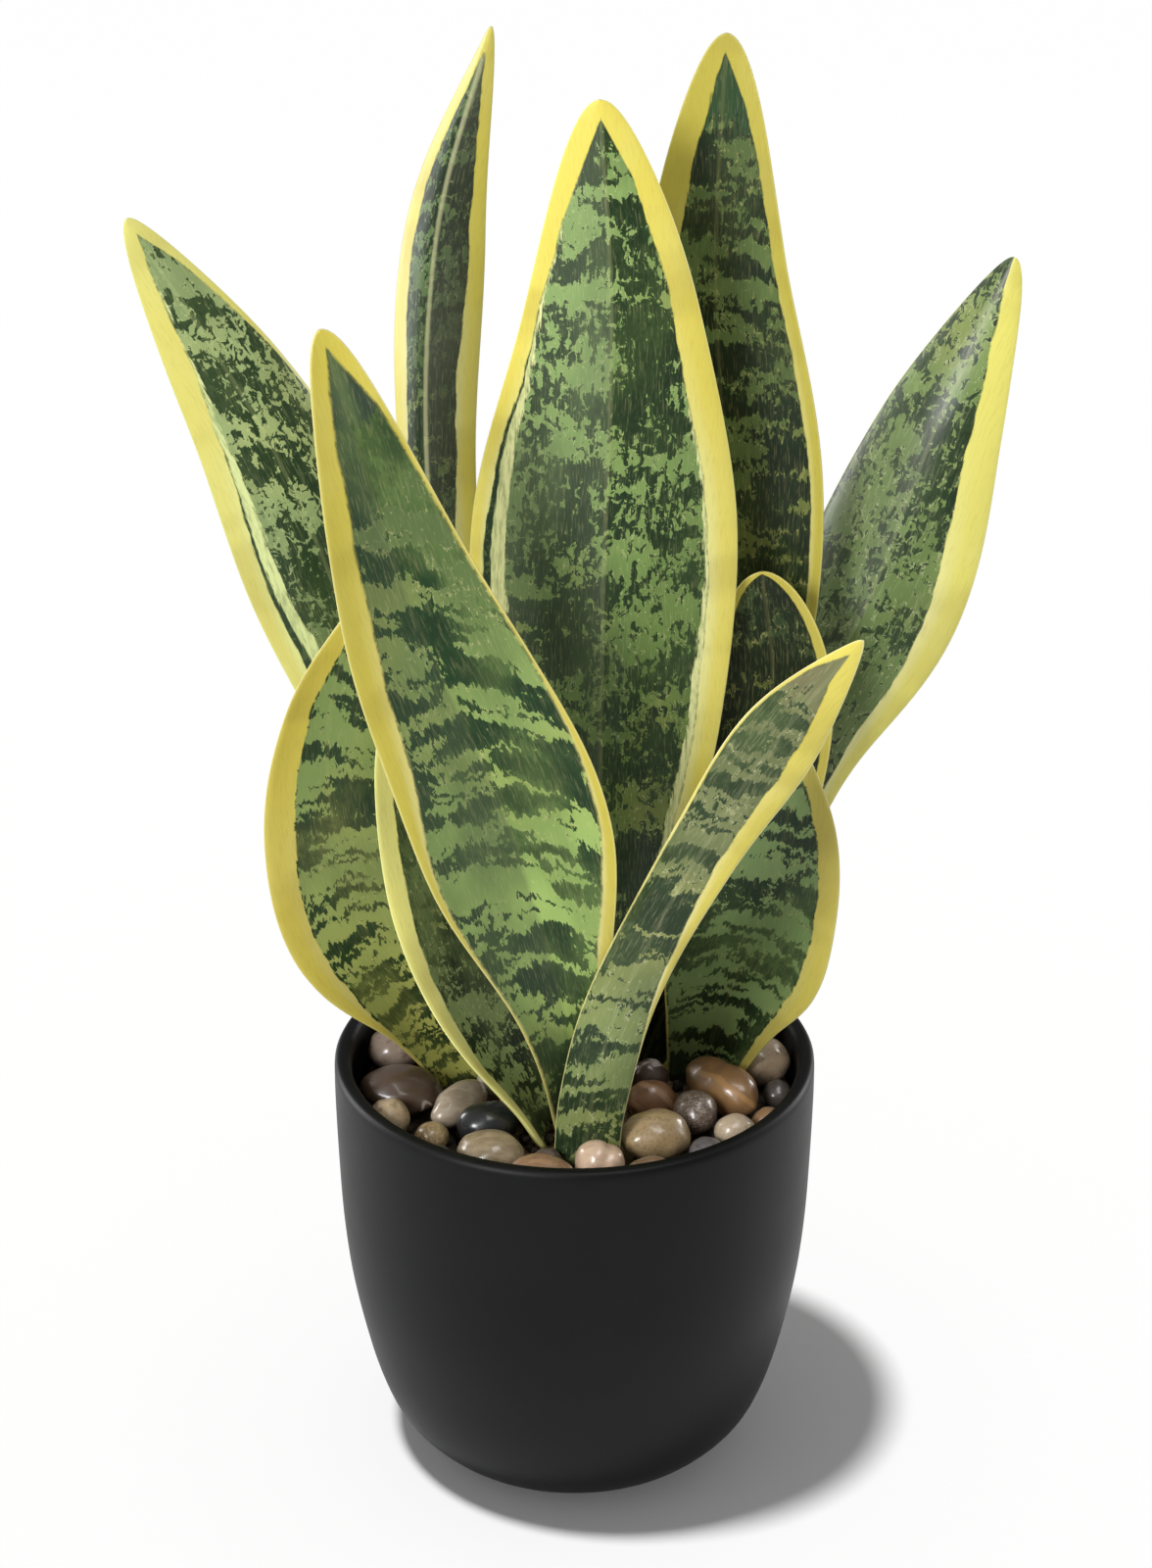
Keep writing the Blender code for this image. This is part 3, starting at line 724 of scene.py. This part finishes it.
    green = n.mix(in_stripe, green, stripe_green)

    # The yellow: golden at the edge, creamier towards the green lower down, with fine streaks.
    share_in = n.math("DIVIDE", edge, n.math("MAXIMUM", margin, 0.5))
    creamy = n.math("MULTIPLY", n.step(share_in, 0.45, 1.0), n.step(tip, 30.0, 120.0))
    washed = n.math("MULTIPLY", n.step(wash, -0.05, 0.15), 0.12)
    creamy = n.math("ADD", n.math("MULTIPLY", creamy, 0.6), washed)
    yellow = n.mix(creamy, given["Margin"], given["Pale"])
    ochre = n.mix(0.72, given["Margin"], rgb(0.2, 0.14, 0.02))
    yellow = n.mix(n.math("MULTIPLY", n.step(wander, 0.0, 0.16), 0.28), yellow, ochre)
    yellow = n.mix(n.math("MULTIPLY", n.step(fibre, -0.02, 0.2), 0.16), yellow, ochre)
    color = n.mix(is_green, yellow, green)

    # Dark dots strung along the boundary, and a thin pale line on the very edge.
    dots = n.math("SUBTRACT", 1.0, n.step(n.math("ABSOLUTE", n.math("SUBTRACT", core, 0.1)), 0.15, 0.5))
    dots = n.math("MULTIPLY", dots, n.step(field(0.5, 0.35, 44.0, 2, 0.6), 0.0, 0.06))
    color = n.mix(n.math("MULTIPLY", dots, given["Dots"]), color, given["Dark"])
    rim = n.math("SUBTRACT", 1.0, n.step(edge, 0.1, 0.5))
    color = n.mix(n.math("MULTIPLY", rim, 0.5), color, given["Pale"])
    n.feed(out["Color"], color)

    height = n.math("ADD", n.math("MULTIPLY", comb, 0.5), n.math("MULTIPLY", fibre, 0.2))
    height = n.math("SUBTRACT", height, n.math("MULTIPLY", dark, 0.06))
    n.feed(out["Height"], n.math("ADD", height, n.math("MULTIPLY", rib, 0.15)))
    n.feed(out["Wax"], n.math("ADD", field(0.1, 0.05, 48.0, 2, 0.55), 0.5))
    return group


def leaf_material(name, group, leaf, seed):
    """A leaf's skin: its colours, partly painted shade and sheen, and values in the variegation, with a
    waxy sheen.
    """
    material, n, surface = new_material(name, Specular_IOR_Level=0.22)
    marks = n.add("ShaderNodeGroup", node_tree=group)
    for key, value in leaf.marks.items():
        socket = marks.inputs[key.capitalize().replace("_", " ")]
        socket.default_value = rgb(*value) if isinstance(value, tuple) else value
    marks.inputs["Seed"].default_value = seed
    n.feed(surface["Base Color"], marks.outputs["Color"])
    n.feed(surface["Roughness"], n.math("ADD", n.math("MULTIPLY", marks.outputs["Wax"], 0.3), 0.2))
    n.bump(surface, marks.outputs["Height"], 0.2, 0.0004)
    return material


# ---------------------------------------------------------------- the pot

POT_OUTSIDE = [
    (27.0, 0.0),
    (33.5, 0.7),
    (39.0, 3.0),
    (44.0, 7.0),
    (49.4, 14.0),
    (53.6, 25.0),
    (57.0, 39.0),
    (59.7, 54.0),
    (61.3, 70.0),
    (62.1, 88.0),
    (62.5, 104.0),
    (62.5, 112.4),
]
POT_RIM = [(62.4, 113.6), (61.8, 114.6), (60.9, 115.0), (60.2, 115.0), (59.3, 114.95), (58.5, 114.3)]
POT_INSIDE = [
    (58.1, 112.8),
    (58.0, 100.0),
    (57.4, 82.0),
    (55.8, 62.0),
    (53.0, 44.0),
    (49.0, 29.0),
    (43.5, 17.0),
    (36.0, 9.5),
    (28.0, 7.0),
]


def turn_pot(steps=160):
    """The pot, turned from its profile: foot, outside, rim, inside wall and floor."""
    profile = [(0.0, 0.0), (26.0, 0.0)]
    outside, _ = smooth_line(POT_OUTSIDE)
    inside, _ = smooth_line(POT_INSIDE)
    rim, _ = smooth_line(POT_RIM)
    profile += [tuple(p) for p in outside[::6]] + [tuple(p) for p in rim[::8]]
    profile += [tuple(p) for p in inside[::8]] + [(0.0, 7.0)]
    points, faces, rows = [], [], []
    for r, z in profile:
        if r == 0:
            rows.append([len(points)])
            points.append(Vector((0, 0, z)) * MM)
            continue
        rows.append(list(range(len(points), len(points) + steps)))
        for i in range(steps):
            t = 2 * math.pi * i / steps
            points.append(Vector((r * math.cos(t), r * math.sin(t), z)) * MM)
    for low, high in zip(rows[:-1], rows[1:]):
        for i in range(steps):
            j = (i + 1) % steps
            if len(low) == 1:
                faces.append((low[0], high[j], high[i]))
            elif len(high) == 1:
                faces.append((low[i], low[j], high[0]))
            else:
                faces.append((low[i], low[j], high[j], high[i]))
    pot = make_piece("pot_shell", points, faces)
    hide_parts("pot")
    return pot


def pot_material():
    """Matte black glaze with a faint cloud and a fine grain."""
    material, n, surface = new_material("matte_black_ceramic", Specular_IOR_Level=0.16)
    place = n.place()
    cloud = n.noise(place, 45, 4, 0.6)
    grain = n.noise(place, 1400, 3, 0.6)
    black, soot = rgb(0.0026, 0.0027, 0.003), rgb(0.0036, 0.0037, 0.0041)
    n.feed(surface["Base Color"], n.mix(n.step(cloud, 0.35, 0.65), black, soot))
    n.feed(surface["Roughness"], n.math("ADD", n.math("MULTIPLY", cloud, 0.1), 0.42))
    n.bump(surface, grain, 0.12, 0.0002)
    return material


# ---------------------------------------------------------------- pebbles, soil and rhizome

# Each pebble's look, by the number of its node: base colour, second colour, kind of marking.
STONE_LOOKS = {
    1: ((0.19, 0.135, 0.105), (0.28, 0.22, 0.18), "speckled"),
    2: ((0.065, 0.038, 0.024), (0.42, 0.36, 0.3), "veined"),
    3: ((0.46, 0.33, 0.2), (0.6, 0.48, 0.33), "speckled"),
    4: ((0.27, 0.21, 0.15), (0.4, 0.33, 0.25), "streaked"),
    5: ((0.01, 0.011, 0.012), (0.03, 0.03, 0.03), "plain"),
    6: ((0.16, 0.1, 0.045), (0.5, 0.38, 0.2), "speckled"),
    7: ((0.28, 0.22, 0.13), (0.17, 0.12, 0.07), "streaked"),
    8: ((0.17, 0.09, 0.048), (0.33, 0.2, 0.11), "streaked"),
    9: ((0.42, 0.37, 0.29), (0.55, 0.5, 0.4), "plain"),
    10: ((0.05, 0.04, 0.03), (0.1, 0.08, 0.06), "plain"),
    11: ((0.56, 0.42, 0.29), (0.42, 0.27, 0.19), "streaked"),
    12: ((0.34, 0.245, 0.125), (0.17, 0.11, 0.055), "speckled"),
    13: ((0.16, 0.075, 0.035), (0.45, 0.26, 0.15), "banded"),
    14: ((0.07, 0.045, 0.032), (0.4, 0.33, 0.26), "scratched"),
    15: ((0.15, 0.082, 0.038), (0.38, 0.21, 0.075), "banded"),
    16: ((0.35, 0.255, 0.165), (0.46, 0.36, 0.25), "speckled"),
    17: ((0.09, 0.08, 0.08), (0.14, 0.13, 0.13), "speckled"),
    18: ((0.15, 0.09, 0.05), (0.24, 0.16, 0.1), "streaked"),
    19: ((0.06, 0.03, 0.02), (0.5, 0.45, 0.4), "veined"),
    20: ((0.05, 0.042, 0.036), (0.1, 0.08, 0.06), "plain"),
    21: ((0.2, 0.11, 0.05), (0.34, 0.2, 0.1), "plain"),
}
OTHER_STONES = [
    ((0.2, 0.12, 0.07), (0.32, 0.22, 0.14), "streaked"),
    ((0.07, 0.05, 0.04), (0.13, 0.1, 0.08), "speckled"),
    ((0.36, 0.28, 0.19), (0.5, 0.4, 0.28), "speckled"),
    ((0.13, 0.085, 0.06), (0.3, 0.22, 0.16), "banded"),
    ((0.28, 0.15, 0.065), (0.38, 0.24, 0.12), "streaked"),
    ((0.04, 0.036, 0.035), (0.3, 0.27, 0.24), "veined"),
    ((0.46, 0.37, 0.26), (0.34, 0.25, 0.17), "speckled"),
]


DENTED_STONES = (11, 15)
RIDGED_STONES = (2,)


def measure_stone(node):
    """A CAD pebble's middle, axes and half-sizes."""
    points = np.array([tuple(v.co) for v in node.data.vertices], float)
    middle = (points.min(0) + points.max(0)) / 2
    values, axes = np.linalg.eigh(np.cov((points - middle).T))
    axes = axes[:, ::-1]
    if np.linalg.det(axes) < 0:
        axes[:, 2] = -axes[:, 2]
    half = np.abs((points - middle) @ axes).max(0)
    return middle, axes, half


def polish_stone(node, number):
    """A smooth, slightly irregular pebble in the place of a CAD one."""
    middle, axes, half = measure_stone(node)
    mesh = bmesh.new()
    bmesh.ops.create_icosphere(mesh, subdivisions=4, radius=1)
    offset = Vector((number * 5.3, number * 2.7, 1.0))
    for vertex in mesh.verts:
        co = vertex.co.copy()
        worn = 1.03 + 0.10 * noise.noise(co * 0.9 + offset) + 0.05 * noise.noise(co * 2.1 + offset * 2)
        if number in DENTED_STONES:
            worn -= 0.13 * math.exp(-((co.x - 0.05) ** 2) / 0.05) * (0.5 + 0.5 * co.y)
        if number in RIDGED_STONES:
            worn += 0.08 * math.exp(-((co.z - 0.5 - 0.3 * co.x) ** 2) / 0.03)
        vertex.co = Vector(middle + axes @ (np.array(co) * worn * half))
    points = [v.co.copy() for v in mesh.verts]
    faces = [tuple(v.index for v in face.verts) for face in mesh.faces]
    mesh.free()
    stone = make_piece(node.name + "_polished", points, faces)
    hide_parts(node.name)
    return stone


def stone_marking_group():
    """Markings of a polished river pebble: speckles, streaks, bands, a vein or scratches."""
    group, n, given, out = new_group(
        "stone_markings",
        {
            "Base": rgb(0.2, 0.13, 0.08),
            "Second": rgb(0.35, 0.25, 0.15),
            "Drift": 0.5,
            "Speckled": 0.0,
            "Streaked": 0.0,
            "Banded": 0.0,
            "Veined": 0.0,
            "Scratched": 0.0,
            "Seed": 0.0,
        },
        {"Color": "Color", "Height": "Float"},
    )
    place = n.place()
    shift = n.add("ShaderNodeVectorMath", operation="ADD")
    n.feed(shift.inputs[0], place)
    n.feed(shift.inputs[1], n.join(given["Seed"], n.math("MULTIPLY", given["Seed"], 0.37), 0.0))
    at = shift.outputs[0]
    soft = n.noise(at, 90, 3, 0.55, 0.6)
    drift = n.math("MULTIPLY", n.step(soft, 0.35, 0.7), given["Drift"])
    color = n.mix(drift, given["Base"], given["Second"])
    fine = n.noise(at, 1500, 3, 0.7)
    medium = n.noise(at, 520, 2, 0.6)
    spots = n.math("MULTIPLY", n.step(fine, 0.52, 0.62), given["Speckled"])
    color = n.mix(n.math("MULTIPLY", spots, 0.6), color, given["Second"])
    pits = n.math("MULTIPLY", n.step(medium, 0.58, 0.66), given["Speckled"])
    color = n.mix(n.math("MULTIPLY", pits, 0.5), color, n.mix(0.6, given["Base"], rgb(0.02, 0.015, 0.01)))
    stretch = n.add("ShaderNodeMapping", vector_type="POINT")
    n.feed(stretch.inputs["Vector"], at)
    stretch.inputs["Rotation"].default_value = (0.5, 0.35, 0.8)
    stretch.inputs["Scale"].default_value = (1.0, 5.0, 5.0)
    long = n.noise(stretch.outputs[0], 120, 4, 0.6, 0.8)
    streaks = n.math("MULTIPLY", n.step(long, 0.45, 0.62), given["Streaked"])
    color = n.mix(n.math("MULTIPLY", streaks, 0.7), color, given["Second"])
    wave = n.add("ShaderNodeTexWave", wave_type="BANDS", bands_direction="DIAGONAL")
    n.feed(wave.inputs["Vector"], at)
    wave.inputs["Scale"].default_value = 60
    wave.inputs["Distortion"].default_value = 3
    wave.inputs["Detail"].default_value = 3
    lines = n.math("MULTIPLY", n.step(wave.outputs["Fac"], 0.75, 0.95), given["Banded"])
    color = n.mix(n.math("MULTIPLY", lines, 0.55), color, given["Second"])
    crack = n.math("ABSOLUTE", n.math("SUBTRACT", n.noise(at, 42, 3, 0.5, 0.5), 0.5))
    vein = n.math("MULTIPLY", n.math("SUBTRACT", 1.0, n.step(crack, 0.002, 0.01)), n.step(soft, 0.46, 0.56))
    vein = n.math("MULTIPLY", vein, given["Veined"])
    color = n.mix(n.math("MULTIPLY", vein, 0.8), color, given["Second"])
    hair = n.math("ABSOLUTE", n.math("SUBTRACT", n.noise(stretch.outputs[0], 260, 3, 0.6, 1.2), 0.5))
    scratch = n.math("MULTIPLY", n.math("SUBTRACT", 1.0, n.step(hair, 0.01, 0.04)), given["Scratched"])
    color = n.mix(n.math("MULTIPLY", scratch, 0.75), color, given["Second"])
    n.feed(out["Color"], color)
    n.feed(out["Height"], n.math("SUBTRACT", medium, n.math("MULTIPLY", scratch, 0.5)))
    return group


def stone_material(name, group, look, seed):
    """A pebble's skin: its own colours and kind of marking, polished."""
    base, second, kind = look
    material, n, surface = new_material(name, Coat_Weight=0.35, Coat_Roughness=0.12)
    marks = n.add("ShaderNodeGroup", node_tree=group)
    marks.inputs["Base"].default_value = rgb(*base)
    marks.inputs["Second"].default_value = rgb(*second)
    if kind.capitalize() in marks.inputs:
        marks.inputs[kind.capitalize()].default_value = 1.0
    marks.inputs["Drift"].default_value = 0.06 if kind in ("veined", "scratched") else 0.45
    marks.inputs["Seed"].default_value = seed
    n.feed(surface["Base Color"], marks.outputs["Color"])
    n.feed(surface["Roughness"], n.math("ADD", n.math("MULTIPLY", marks.outputs["Height"], 0.2), 0.22))
    n.bump(surface, marks.outputs["Height"], 0.2, 0.0003)
    return material


def soil_material():
    """Dark crumbling soil with paler bits in it."""
    material, n, surface = new_material("potting_soil_crumb", Roughness=0.95)
    place = n.place()
    crumbs = n.noise(place, 420, 5, 0.7)
    bits = n.noise(place, 1300, 2, 0.6)
    color = n.mix(n.step(crumbs, 0.35, 0.65), rgb(0.012, 0.008, 0.005), rgb(0.05, 0.032, 0.02))
    color = n.mix(n.math("MULTIPLY", n.step(bits, 0.66, 0.72), 0.6), color, rgb(0.16, 0.11, 0.07))
    n.feed(surface["Base Color"], color)
    n.bump(surface, crumbs, 0.9, 0.0015)
    return material


def rhizome_material():
    """The tan, ringed skin of the rhizome."""
    material, n, surface = new_material("rhizome_skin", Roughness=0.6)
    place = n.place()
    rings = n.noise(place, 160, 5, 0.65, 0.5)
    brown, tan = rgb(0.1, 0.06, 0.03), rgb(0.3, 0.2, 0.1)
    n.feed(surface["Base Color"], n.mix(n.step(rings, 0.35, 0.65), brown, tan))
    n.bump(surface, rings, 0.6, 0.001)
    return material


# How high and how wide the soil's surface is, in millimetres.
SOIL_TOP = 100.7
SOIL_RADIUS = 57.0


def scatter_grit(material, count=420):
    """Soil crumbs and grit lying between the pebbles, as one piece."""
    rng = np.random.default_rng(11)
    points, faces = [], []
    for _ in range(count):
        angle = rng.uniform(0, 2 * math.pi)
        radius = (SOIL_RADIUS - 1) * MM * math.sqrt(rng.uniform(0.02, 1))
        size = rng.uniform(0.8, 2.2) * MM
        at = np.array([radius * math.cos(angle), radius * math.sin(angle), SOIL_TOP * MM + size * 0.4])
        if radius + size > SOIL_RADIUS * MM:
            continue
        start = len(points)
        ball = bmesh.new()
        bmesh.ops.create_icosphere(ball, subdivisions=1, radius=1)
        shape = rng.uniform(0.6, 1.1, 3)
        for vertex in ball.verts:
            points.append(Vector(at + np.array(vertex.co) * shape * size * rng.uniform(0.8, 1.1)))
        faces += [tuple(start + v.index for v in face.verts) for face in ball.faces]
        ball.free()
    grit = make_piece("soil_crumbs", points, faces)
    grit.data.materials.append(material)
    return grit


# ---------------------------------------------------------------- building it

leaf_marks = leaf_marking_group()
for index, (name, leaf) in enumerate(LEAVES.items()):
    piece = grow_leaf(name, leaf)
    piece.data.materials.append(leaf_material(name + "_skin", leaf_marks, leaf, 11.7 * index + 2.0))

pot = turn_pot()
pot.data.materials.append(pot_material())

stone_marks = stone_marking_group()
for name, node in sorted(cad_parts.items()):
    if not name.startswith("pebble"):
        continue
    number = int(name.split("_")[1])
    stone = polish_stone(node, number)
    look = STONE_LOOKS.get(number, OTHER_STONES[number % len(OTHER_STONES)])
    stone.data.materials.append(stone_material(name + "_stone", stone_marks, look, 0.31 * number))

soil_skin = soil_material()
for name, skin in (("potting_soil", soil_skin), ("rhizome", rhizome_material())):
    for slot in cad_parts[name].material_slots:
        slot.link = "OBJECT"
        slot.material = skin
scatter_grit(soil_skin)


# ---------------------------------------------------------------- floor, light and camera


def plain_floor():
    """A plain pale floor, wider than any view of the plant."""
    mesh = bpy.data.meshes.new("studio_floor")
    size = 6.0
    corners = [(-size, -size, 0), (size, -size, 0), (size, size, 0), (-size, size, 0)]
    mesh.from_pydata(corners, [], [(0, 1, 2, 3)])
    floor = bpy.data.objects.new("studio_floor", mesh)
    bpy.context.scene.collection.objects.link(floor)
    material, n, surface = new_material("floor_paper", Roughness=0.9, Specular_IOR_Level=0.1)
    surface["Base Color"].default_value = rgb(0.92, 0.92, 0.92)
    mesh.materials.append(material)
    return floor


def softbox(name, at, aim, size, power):
    """A rectangular light at a place, turned to shine on another."""
    light = bpy.data.lights.new(name, "AREA")
    light.shape = "RECTANGLE"
    light.size, light.size_y = size
    light.energy = power
    lamp = bpy.data.objects.new(name, light)
    lamp.location = at
    lamp.rotation_euler = (Vector(aim) - Vector(at)).to_track_quat("-Z", "Y").to_euler()
    bpy.context.scene.collection.objects.link(lamp)
    return lamp


def linked(name, *objects, state="INCLUDE"):
    """A collection that tells a light what it shines on or what shades it."""
    group = bpy.data.collections.new(name)
    for thing in objects:
        group.objects.link(thing)
    for entry in group.collection_objects:
        entry.light_linking.link_state = state
    return group


def sunlight(name, energy, *lit):
    """A sun that shines straight down on the given objects only."""
    light = bpy.data.lights.new(name, "SUN")
    light.energy = energy
    lamp = bpy.data.objects.new(name, light)
    bpy.context.scene.collection.objects.link(lamp)
    lamp.light_linking.receiver_collection = linked("lit_by_" + name, *lit)
    return lamp


floor = plain_floor()
lamps = [
    softbox("key_softbox", (-0.85, -1.15, 0.95), (0, 0, 0.2), (0.5, 0.5), 21),
    softbox("top_softbox", (0.25, -0.5, 1.5), (0, 0, 0.2), (0.7, 0.7), 9),
    softbox("left_strip", (-1.0, 0.5, 0.3), (0, 0, 0.1), (0.3, 0.9), 12),
    softbox("right_strip", (1.1, 0.75, 0.3), (0, 0, 0.1), (0.25, 0.9), 10),
]
not_on_floor = linked("not_on_floor", floor, state="EXCLUDE")
for lamp in lamps:
    lamp.light_linking.receiver_collection = not_on_floor

sun = sunlight("floor_sun", 2.57, floor)
sun.data.angle = math.radians(6)
sun.rotation_euler = Vector((25, 11, -114)).to_track_quat("-Z", "Y").to_euler()
sun.light_linking.blocker_collection = linked("shade_of_pot", pot)
fill = sunlight("floor_fill", 0.25, floor)
fill.data.use_shadow = False

world = bpy.data.worlds.new("studio_air")
bpy.context.scene.world = world
world.use_nodes = True
air = Nodes(world.node_tree)
background = world.node_tree.nodes["Background"]
background.inputs["Color"].default_value = rgb(1, 1, 1)
seen = air.add("ShaderNodeLightPath").outputs["Is Camera Ray"]
air.feed(background.inputs["Strength"], air.math("ADD", air.math("MULTIPLY", seen, 0.76), 0.22))

camera_data = bpy.data.cameras.new("camera")
camera_data.lens = 85
camera_data.sensor_width = 36
camera = bpy.data.objects.new("camera", camera_data)
camera.location = (0.0004, -0.8426, 0.5898)
camera.rotation_euler = (math.radians(64.7), 0, 0)
bpy.context.scene.collection.objects.link(camera)
bpy.context.scene.camera = camera
bpy.context.scene.view_settings.view_transform = "Standard"
